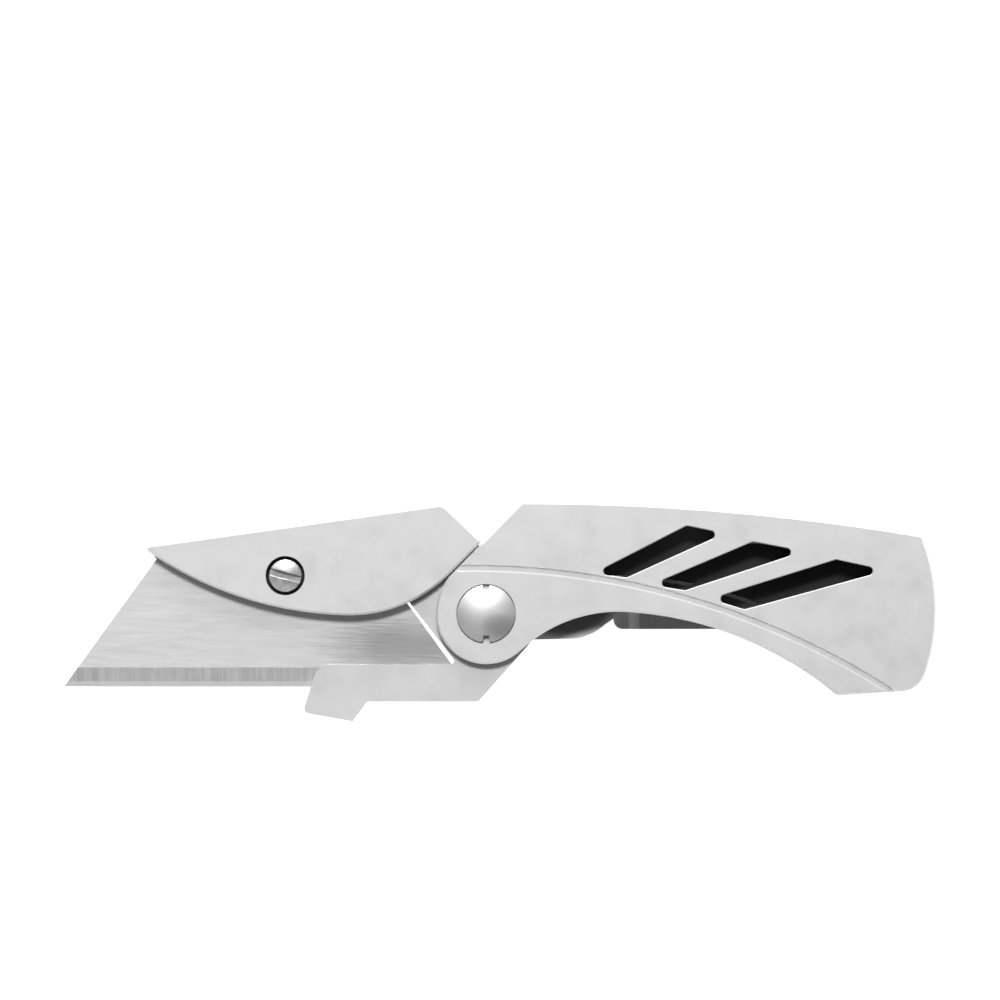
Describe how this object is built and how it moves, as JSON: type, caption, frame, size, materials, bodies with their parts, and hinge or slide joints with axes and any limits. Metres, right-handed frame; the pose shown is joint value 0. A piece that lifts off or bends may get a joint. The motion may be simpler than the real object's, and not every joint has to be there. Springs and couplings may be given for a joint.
{
  "type": "folding utility knife",
  "caption": "Folding utility knife, open: trapezoid blade in a carrier with a crescent cover plate, slotted steel handle with frame lock and pocket clip.",
  "frame": {"origin": "centre of the bounding box in plan, on the plane of the pocket clip's outermost face, which the knife lies on", "axes": "+X along the open knife from the blade's point to the handle's tail, +Y towards the spine, +Z out of the front face"},
  "size_m": [0.132, 0.0332, 0.0106],
  "materials": {
    "scale_steel": "fine bead-blasted satin",
    "frame_steel": "satin, slightly darker",
    "blade_steel": "rolled, with ground bevel and honed edge",
    "clip_steel": "brushed spring steel",
    "polished_steel": "polished",
    "screw_steel": "turned, lightly oiled",
    "bronze": "bearing bronze"
  },
  "bodies": {
    "handle": {"pocket_clip": "clip_steel", "clip_screws": "screw_steel", "frame_screws": "screw_steel", "rear_frame": "frame_steel", "stop_pin": "polished_steel", "spine_spacer": "frame_steel", "pivot_barrel": "polished_steel", "rear_washer": "bronze", "front_washer": "bronze", "front_scale": "scale_steel", "pivot_screw": "polished_steel"},
    "lock": {"lock_bar": "frame_steel", "detent_ball": "polished_steel"},
    "carrier": {"carrier_frame": "frame_steel", "utility_blade": "blade_steel", "cover_dowels": "polished_steel", "clamp_nut": "screw_steel"},
    "cover": {"cover_plate": "scale_steel"},
    "screw": {"clamp_screw": "polished_steel", "clamp_ring": "screw_steel"}
  },
  "joints": [
    {"name": "carrier_fold", "type": "hinge", "parent": "handle", "child": "carrier", "pos_m": [-0.002, -0.00031, 0.00635], "axis": [0, 0, 1], "range_deg": [0, 178.5]},
    {"name": "lock_bar_flex", "type": "hinge", "parent": "handle", "child": "lock", "pos_m": [0.0445, -0.00471, 0.0038], "axis": [0, 1, 0], "range_deg": [0, 1.5], "stiffness_Nm_per_rad": 0.05, "springref_deg": 1.5},
    {"name": "cover_lift", "type": "slide", "parent": "carrier", "child": "cover", "axis": [0, 0, 1], "range_m": [0, 0.0015]},
    {"name": "clamp_screw_turn", "type": "hinge", "parent": "cover", "child": "screw", "pos_m": [-0.03234, 0.00547, 0.009], "axis": [0, 0, 1], "range_deg": [0, 1080.05]}
  ],
  "couplings": [
    {"joint": "clamp_screw_turn", "follows": "cover_lift", "rad_per_m": 12566}
  ]
}
